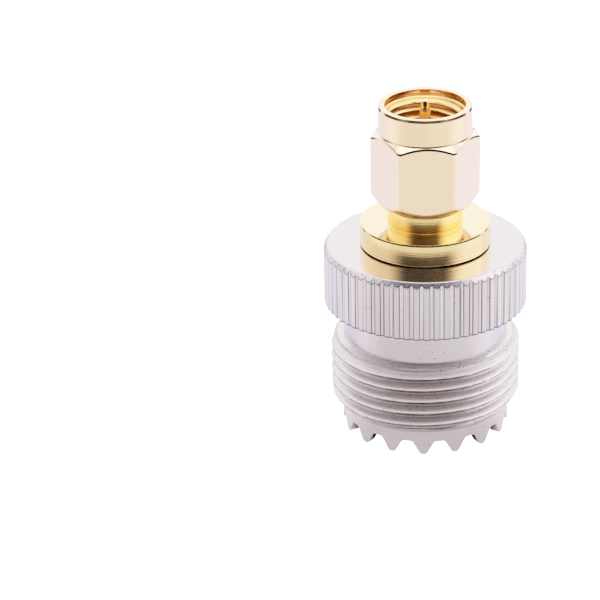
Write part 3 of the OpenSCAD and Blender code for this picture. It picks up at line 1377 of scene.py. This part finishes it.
    def contact(self, turner: Turner, gold: bpy.types.Material) -> bpy.types.Object:
        """Socket contact with its four spring slots.

        Args:
            turner: maker of turned meshes.
            gold: its finish.

        Returns:
            The contact.
        """
        outline = Outline().path(
            Corner(0.0, self.contact_floor),
            Corner(self.contact_bore_r, self.contact_floor, Edge.WIDE),
            Corner(self.contact_bore_r, self.mouth_depth + self.contact_entry, Edge.BROKEN),
            Corner(self.contact_bore_r + self.contact_entry, self.mouth_depth, Edge.BROKEN),
            Corner(self.contact_r, self.mouth_depth, Edge.WIDE),
            Corner(self.contact_r, self.contact_top, Edge.BROKEN),
            Corner(self.tail_r, self.contact_top),
            Corner(self.tail_r, self.tail_top, Edge.BROKEN),
            Corner(self.tail_bore_r, self.tail_top),
            Corner(self.tail_bore_r, self.tail_floor),
            Corner(0.0, self.tail_floor),
        )
        turned = turner.turn("jack_contact", outline, gold, self.contact_segments)
        mesh = turned.data
        bpy.data.objects.remove(turned)
        slotted = turner.evaluate(mesh, SlotTree(), {
            "Width": self.slot_w * MM,
            "Foot": (self.mouth_depth - self.slot_w) * MM,
            "Top": (self.mouth_depth + self.slot_h) * MM,
            "Reach": self.slot_reach * MM,
            "Turn": math.radians(self.slot_turn),
            "Finish": gold,
        })
        return turner.piece("jack_contact", slotted)


@dataclass
class SmaPlug(Seat):
    """Gold plug body with its flange, neck and sleeve, the dielectric, the pin and the gasket."""

    flange_r: float = 5.45
    flange_top: float = 18.45
    flange_edge_r: float = 0.06
    flange_edge_z: float = 0.145
    flange_foot_edge: float = 0.04
    foot_gap: float = 0.11
    foot_gap_depth: float = 0.6
    neck_r: float = 3.13
    neck_fillet: float = 0.06
    groove_r: float = 2.66
    groove_z: float = 22.38
    groove_top: float = 23.29
    seat_z: float = 23.94
    seat_break: float = 0.1
    sleeve_r: float = 2.295
    sleeve_break: float = 0.06
    face_z: float = 26.54
    dielectric_r: float = 2.065
    conductor_r: float = 0.635
    pin_r: float = 0.46
    pin_top: float = 29.14
    pin_point: float = 0.95
    gasket_r: float = 2.75
    gasket_h: float = 0.6
    gasket_foot_edge: float = 0.08

    # Radius and distance below the tip along the point, as shares of pin_r and pin_point
    point_shares: tuple[Span, ...] = (
        (0.97, 0.97), (0.78, 0.62), (0.6, 0.22), (0.53, 0.12), (0.4, 0.05), (0.2, 0.012), (0.0, 0.0)
    )

    body_segments: int = 256
    ring_segments: int = 128
    pin_segments: int = 96

    def build(self, turner: Turner, gold: bpy.types.Material, white: bpy.types.Material,
              red: bpy.types.Material) -> None:
        """Make and dress the four pieces.

        Args:
            turner: maker of turned meshes.
            gold: finish of body and pin.
            white: finish of the dielectric.
            red: finish of the gasket.
        """
        body = turner.turn("plug_body", self.body_outline(), gold, self.body_segments)
        dress(body, "sma_body", Body.ADAPTER)
        dielectric = turner.turn("plug_dielectric", self.dielectric_outline(), white, self.ring_segments)
        dress(dielectric, "sma_insulator", Body.ADAPTER)
        pin = turner.turn("plug_pin", self.pin_outline(), gold, self.pin_segments)
        dress(pin, "sma_pin", Body.ADAPTER)
        gasket = turner.turn("plug_gasket", self.gasket_outline(), red, self.ring_segments)
        dress(gasket, "gasket", Body.ADAPTER)

    def body_outline(self) -> Outline:
        """Walls of the body from its bore round the flange and neck to the sleeve's face.

        Returns:
            The half section.
        """
        gap_r = self.flange_r - self.foot_gap_depth
        gap_top = self.shell_h + self.foot_gap
        return Outline().path(
            Corner(self.dielectric_r, self.wall_z),
            Corner(self.spigot_r, self.wall_z, Edge.BROKEN),
            Corner(self.spigot_r, self.shell_h),
            Corner(gap_r, self.shell_h),
            Corner(gap_r, gap_top),
            Corner(self.flange_r, gap_top, self.flange_foot_edge),
            Corner(self.flange_r, self.flange_top - self.flange_edge_z, Edge.KEEN),
            Corner(self.flange_r - self.flange_edge_r, self.flange_top, Edge.KEEN),
            Corner(self.neck_r, self.flange_top, self.neck_fillet),
            Corner(self.neck_r, self.groove_z, Edge.FINE),
            Corner(self.groove_r, self.groove_z),
            Corner(self.groove_r, self.groove_top),
            Corner(self.neck_r, self.groove_top, Edge.FINE),
            Corner(self.neck_r, self.seat_z - self.seat_break, Edge.FINE),
            Corner(self.neck_r - self.seat_break, self.seat_z, Edge.FINE),
            Corner(self.sleeve_r, self.seat_z),
            Corner(self.sleeve_r, self.face_z - self.sleeve_break, Edge.KEEN),
            Corner(self.sleeve_r - self.sleeve_break, self.face_z, Edge.KEEN),
            Corner(self.dielectric_r, self.face_z),
            Corner(self.dielectric_r, self.wall_z),
        )

    def dielectric_outline(self) -> Outline:
        """Walls of the white rod around the conductor."""
        return Outline().path(
            Corner(self.tail_r, self.wall_z),
            Corner(self.dielectric_r, self.wall_z),
            Corner(self.dielectric_r, self.face_z, Edge.BROKEN),
            Corner(self.conductor_r, self.face_z, Edge.FINE),
            Corner(self.conductor_r, self.tail_top),
            Corner(self.tail_r, self.tail_top),
            Corner(self.tail_r, self.wall_z),
        )

    def pin_outline(self) -> Outline:
        """Walls of the pin from its soldered tail to its tapered point."""
        outline = Outline().path(
            Corner(0.0, self.tail_floor),
            Corner(self.tail_bore_r, self.tail_floor, Edge.BROKEN),
            Corner(self.tail_bore_r, self.tail_top),
            Corner(self.conductor_r, self.tail_top),
            Corner(self.conductor_r, self.face_z, Edge.FINE),
            Corner(self.pin_r, self.face_z),
            Corner(self.pin_r, self.pin_top - self.pin_point),
        )
        return outline.add(
            [Row(self.pin_r * r, self.pin_top - self.pin_point * down) for r, down in self.point_shares]
        )

    def gasket_outline(self) -> Outline:
        """Walls of the flat ring around the sleeve's foot."""
        top = self.seat_z + self.gasket_h
        return Outline().path(
            Corner(self.sleeve_r, self.seat_z),
            Corner(self.gasket_r, self.seat_z, self.gasket_foot_edge),
            Corner(self.gasket_r, top, Edge.SOFT),
            Corner(self.sleeve_r, top, Edge.SOFT),
            Corner(self.sleeve_r, self.seat_z),
        )


@dataclass
class CouplingNut:
    """Gold hexagon nut with its round collar, inside thread and ring groove."""

    flats: float = 6.0
    apothem: float = 4.0
    corner_r: float = 4.53
    foot_z: float = 20.2
    foot_r: float = 3.75
    foot_slope: float = 0.9
    foot_shares: Span = (0.05, 0.4)
    hexagon_top: float = 26.4
    chamfer_slope: float = 0.785
    chamfer_shares: tuple[float, ...] = (0.04, 0.5, 0.96)
    edge_share: float = 0.3
    edge: float = 0.22
    flat_shares: tuple[float, ...] = (0.04, 0.5, 0.97, 0.997)
    facet_r: float = 0.065
    facet_drop: float = 0.125
    facet_shares: tuple[float, ...] = (0.0, 0.12, 0.88, 1.0)
    collar_r: float = 3.89
    collar_foot_r: float = 0.035
    collar_foot_z: float = 0.11
    collar_foot_edge: float = 0.01
    top_z: float = 28.75
    rim_edge_r: float = 0.09
    rim_edge_z: float = 0.215
    mouth_edge: float = 0.06
    bore_r: float = 3.18
    bore_edge: float = 0.08
    groove_r: float = 3.5
    groove_z: float = 22.38
    groove_top: float = 22.89
    thread: Thread = SMA_THREAD
    turn: float = 2.3
    segments: int = 360

    def build(self, turner: Turner, gold: bpy.types.Material) -> None:
        """Make and dress the nut.

        Args:
            turner: maker of turned meshes.
            gold: its finish.
        """
        nut = turner.turn("hex_nut", self.outline(), gold, self.segments, {
            "Turn": math.radians(self.turn),
            "Flats": self.flats,
            "Apothem": self.apothem * MM,
            "Corner Radius": self.corner_r * MM,
            **self.thread.inputs(),
        })
        dress(nut, "coupling_nut", Body.NUT)

    def outline(self) -> Outline:
        """Walls of the nut: bore, foot, hexagon, collar, rim, mouth, thread and ring groove.

        Returns:
            The half section.
        """
        outline = Outline().path(
            Corner(self.bore_r, self.groove_z),
            Corner(self.bore_r, self.foot_z, self.bore_edge),
            Corner(self.foot_r, self.foot_z),
        )
        foot = self.top_row(1.0 - self.collar_foot_r / (self.apothem - self.collar_r), 0.0)
        self.hexagon(outline, foot)
        outline.path(
            Corner(foot.r, foot.z),
            Corner(self.collar_r, self.hexagon_top + self.collar_foot_z, self.collar_foot_edge),
            Corner(self.collar_r, self.top_z - self.rim_edge_z, Edge.KEEN),
            Corner(self.collar_r - self.rim_edge_r, self.top_z, Edge.KEEN),
            Corner(self.thread.top_r, self.top_z, self.mouth_edge),
            Corner(self.thread.top_r, self.thread.top_z),
        )
        outline.add(self.thread.rows()[::-1])
        return outline.path(
            Corner(self.bore_r, self.thread.foot_z),
            Corner(self.bore_r, self.groove_top, Edge.KEEN),
            Corner(self.groove_r, self.groove_top),
            Corner(self.groove_r, self.groove_z),
            Corner(self.bore_r, self.groove_z),
        )

    def foot_row(self, share: float) -> Row:
        """Row of the lower chamfer, from the foot at 0 to the flats at 1."""
        reach = (self.apothem - self.foot_r) * share
        return Row(self.foot_r + reach, self.foot_z + reach * self.foot_slope,
                   hexagon=share, hexagon_rise=self.foot_slope * share)

    def top_row(self, share: float, push: float) -> Row:
        """Row of the upper chamfer.

        Args:
            share: place between the middle of a flat at 0 and the collar at 1.
            push: 1 for a row that follows the flats and 0 for a round one.

        Returns:
            The row.
        """
        reach = (self.apothem - self.collar_r) * (1.0 - share)
        return Row(self.collar_r + reach, self.hexagon_top - reach * self.chamfer_slope,
                   hexagon=push, hexagon_rise=-self.chamfer_slope * push)

    def hexagon(self, outline: Outline, foot: Row) -> None:
        """Append the lower chamfer, the flats, the facet above them and the upper chamfer.

        Args:
            outline: the nut's half section.
            foot: the collar's foot, at which the upper chamfer ends.
        """
        low, high = self.foot_row(1.0), self.top_row(0.0, 1.0)
        start = replace(low, z=low.z + self.edge)
        outline.add([self.foot_row(share) for share in (*self.foot_shares, 1.0 - 2 * self.edge_share)])
        outline.bend(self.foot_row(1.0 - self.edge_share), low, start)
        facet_low = replace(high, z=high.z - self.facet_drop)
        facet_high = self.top_row(self.facet_r / (self.apothem - self.collar_r), 1.0)
        outline.add([start.towards(facet_low, share) for share in self.flat_shares])
        outline.add([facet_low.towards(facet_high, share) for share in self.facet_shares])
        outline.add([facet_high.towards(foot, share) for share in self.chamfer_shares])


@dataclass
class RetainingRing:
    """Spring ring that holds the nut; its solid is shown as it is."""

    node: str = "retaining_ring"

    def build(self, solid: bpy.types.Object, bronze: bpy.types.Material) -> None:
        """Give the solid its finish.

        Args:
            solid: the ring's object.
            bronze: its finish.
        """
        solid.data.materials.clear()
        solid.data.materials.append(bronze)
        LOG.info("%s: finish only", self.node)


# Studio


@dataclass(frozen=True)
class Panel:
    """Part of the tent to both sides of the front, between two heights, with soft edges."""

    half: float
    blur: float
    low: float
    high: float

    soft = 3.0

    def share(self, side: Sock, rise: Sock) -> Sock:
        """Mask of the panel.

        Args:
            side: angle from the front, to either side.
            rise: angle above the floor.

        Returns:
            1 on the panel and 0 beside it.
        """
        low, high, soft = self.low, self.high, self.soft
        across = 1.0 - side.ramp(self.half - self.blur, self.half + self.blur)
        return across * rise.band(low - soft, low + soft, high - soft, high + soft)


@dataclass
class Studio:
    """Plain pale floor, soft white surroundings and the camera."""

    camera_y: float = -225.09
    camera_z: float = 117.82
    aim_z: float = 14.0
    focal_px: float = 2958.1
    image_px: float = 600.0
    sensor: float = 36.0
    yaw: float = -2.423
    pitch: float = -0.621
    roll: float = -0.048
    clip: Span = (5.0, 10000.0)

    floor_half: float = 900.0
    # The floor's glow in reflections paints light and shadow: brighter to the sides, back and right,
    # dark under the object and dimmer near it, fading far away.
    floor_front: Colour = (1.86, 1.84, 1.82)
    floor_side: Colour = (2.7, 2.6, 2.7)
    floor_back: Colour = (2.2, 2.2, 2.8)
    floor_turn: Span = (45.0, 88.0)
    floor_turn_back: Span = (88.0, 112.0)
    floor_painted_shadow_under: Span = (5.8, 7.2)
    floor_painted_shadow: Span = (11.0, 46.0)
    floor_painted_shadow_depth: float = 0.26
    floor_far: Span = (110.0, 260.0)
    floor_gain: Span = (0.24, 0.08)
    floor_gain_fade: Span = (22.0, 34.0)
    floor_right: Span = (0.0, 25.0)
    paper: float = 8.0

    sky_light: float = 1.8
    back_light: float = 1.5
    back_turn: Span = (95.0, 135.0)
    back_top: Span = (50.0, 60.0)
    lid_light: float = 2.4
    lid_edge: Span = (53.0, 61.0)
    opening: Panel = Panel(half=55.0, blur=20.0, low=3.0, high=62.0)
    opening_light: float = 0.04
    horizon: Panel = Panel(half=116.0, blur=10.0, low=3.0, high=19.0)
    horizon_light: float = 0.06
    wing: Panel = Panel(half=118.0, blur=10.0, low=22.0, high=46.0)
    wing_light: Span = (1.3, 3.2)
    wing_turn: Span = (-0.1, 0.1)
    right_gain: float = 0.14
    right_turn: Span = (0.0, 0.7)

    def build(self) -> None:
        """Make camera, floor, light and film."""
        self.camera()
        self.floor()
        self.surroundings()
        Film().load(bpy.context.scene.view_settings)

    @staticmethod
    def turned(first: Vector, second: Vector, degrees: float) -> tuple[Vector, Vector]:
        """Two axes turned in their plane, the first towards the second."""
        cosine, sine = math.cos(math.radians(degrees)), math.sin(math.radians(degrees))
        return first * cosine + second * sine, second * cosine - first * sine

    def camera(self) -> None:
        """Camera at the photograph's angle."""
        eye = Vector((0.0, self.camera_y, self.camera_z))
        ahead = (Vector((0.0, 0.0, self.aim_z)) - eye).normalized()
        right = Vector((1.0, 0.0, 0.0))
        up = right.cross(ahead)
        ahead, right = self.turned(ahead, right, self.yaw)
        ahead, up = self.turned(ahead, up, self.pitch)
        right, up = self.turned(right, up, self.roll)
        lens = bpy.data.cameras.new("camera")
        lens.sensor_width = self.sensor
        lens.lens = self.sensor * self.focal_px / self.image_px
        lens.clip_start, lens.clip_end = (distance * MM for distance in self.clip)
        made = bpy.data.objects.new("camera", lens)
        axes = Matrix((right, up, -ahead)).transposed().to_4x4()
        made.matrix_world = Matrix.Translation(eye * MM) @ axes
        bpy.context.scene.collection.objects.link(made)
        bpy.context.scene.camera = made

    def floor(self) -> None:
        """Pale floor that shows as clean paper and, in the metal's reflections, glows with painted light
        and shadow: brighter to the sides, back and right, dark under the object and dimmer near it.
        """
        half = self.floor_half * MM
        mesh = bpy.data.meshes.new("floor")
        mesh.from_pydata([(-half, -half, 0), (half, -half, 0), (half, half, 0), (-half, half, 0)],
                         [], [(0, 1, 2, 3)])
        material = bpy.data.materials.new("floor")
        material.use_nodes = True
        material.node_tree.nodes.clear()
        graph = Graph(material.node_tree)
        place = graph.node("ShaderNodeTexCoord", {}, {}, "Object")
        x, y = (axis / MM for axis in graph.axes(place)[:2])
        away = (x * x + y * y).fn("SQRT")
        side = abs(graph.bearing(x, y))
        # Painted light: the glow's tone is brighter to the sides and back than in front.
        tone = graph.mix(side.ramp(*self.floor_turn), self.floor_front, self.floor_side)
        tone = graph.mix(side.ramp(*self.floor_turn_back), tone, self.floor_back)
        # Painted shadow: no glow under the object and less near it; painted light: a gain to the right
        # near the object; the glow fades far away.
        painted_shadow = away.ramp(*self.floor_painted_shadow).blend(1.0 - self.floor_painted_shadow_depth, 1.0)
        far = away.ramp(*self.floor_far).blend(1.0, self.horizon_light)
        gain = away.ramp(*self.floor_gain_fade).blend(*self.floor_gain)
        shade = away.ramp(*self.floor_painted_shadow_under) * painted_shadow * far * (x.ramp(*self.floor_right) * gain + 1.0)
        painted_floor_glow = graph.node("ShaderNodeEmission", {}, {"Color": tone, "Strength": shade})
        paper = graph.node("ShaderNodeEmission", {}, {"Strength": self.paper})
        seen = graph.node("ShaderNodeLightPath", {}, {}, "Is Camera Ray")
        surface = graph.node("ShaderNodeMixShader", {}, {0: seen, 1: painted_floor_glow, 2: paper})
        out = material.node_tree.nodes.new("ShaderNodeOutputMaterial")
        graph.feed(out.inputs["Surface"], surface)
        mesh.materials.append(material)
        made = bpy.data.objects.new("floor", mesh)
        bpy.context.scene.collection.objects.link(made)

    def surroundings(self) -> None:
        """White tent: a bright back, lid and side panels, a dim opening in front and a dim horizon."""
        world = bpy.data.worlds.new("tent")
        bpy.context.scene.world = world
        world.use_nodes = True
        graph = Graph(world.node_tree)
        x, y, z = graph.axes(graph.node("ShaderNodeTexCoord", {}, {}, "Generated"))
        rise = z.fn("ARCSINE") * DEGREE
        side = abs(graph.bearing(x, y))
        back = side.ramp(*self.back_turn) * (1.0 - rise.ramp(*self.back_top)) * self.back_light
        lid = rise.ramp(*self.lid_edge) * self.lid_light
        wing = self.wing.share(side, rise) * x.ramp(*self.wing_turn).blend(*self.wing_light)
        light = back + lid + wing + self.sky_light
        light = light * x.ramp(*self.right_turn).blend(1.0, 1.0 + self.right_gain)
        light = light * self.opening.share(side, rise).blend(1.0, self.opening_light)
        light = light * self.horizon.share(side, rise).blend(1.0, self.horizon_light)
        seen = graph.node("ShaderNodeLightPath", {}, {}, "Is Camera Ray")
        paper = (self.paper, self.paper, self.paper)
        tent = graph.mix(seen, graph.vector(light, light, light), paper)
        graph.feed(world.node_tree.nodes["Background"].inputs["Color"], tent)


@dataclass(frozen=True)
class Film:
    """Response of the picture: bright metal runs out softly to white."""

    white: float = 8.0
    points: int = 14

    combined = 3

    def load(self, settings: bpy.types.ColorManagedViewSettings) -> None:
        """Put the response into the view settings.

        Args:
            settings: the scene's view settings.
        """
        settings.view_transform = "Standard"
        settings.use_curve_mapping = True
        mapping = settings.curve_mapping
        mapping.white_level = (self.white, self.white, self.white)
        curve = mapping.curves[self.combined]
        for i in range(1, self.points):
            light = (i / self.points) ** 2
            tone = (1.0 - math.exp(-light * self.white)) / (1.0 - math.exp(-self.white))
            curve.points.new(light, tone)
        mapping.update()


def main() -> None:
    """Load the frame and build every piece around it."""
    logging.basicConfig(level=logging.INFO, format="%(name)s: %(message)s")
    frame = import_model()

    gold, nickel, bronze = (finish.material() for finish in (GOLD, NICKEL, BRONZE))
    white, red = DIELECTRIC.material(), SILICONE.material()
    turner = Turner()
    Studio().build()
    UhfJack().build(turner, nickel, gold, white)
    SmaPlug().build(turner, gold, white, red)
    CouplingNut().build(turner, gold)
    ring = RetainingRing()
    ring.build(frame["nodes"][ring.node], bronze)


if __name__ == "__main__":
    main()
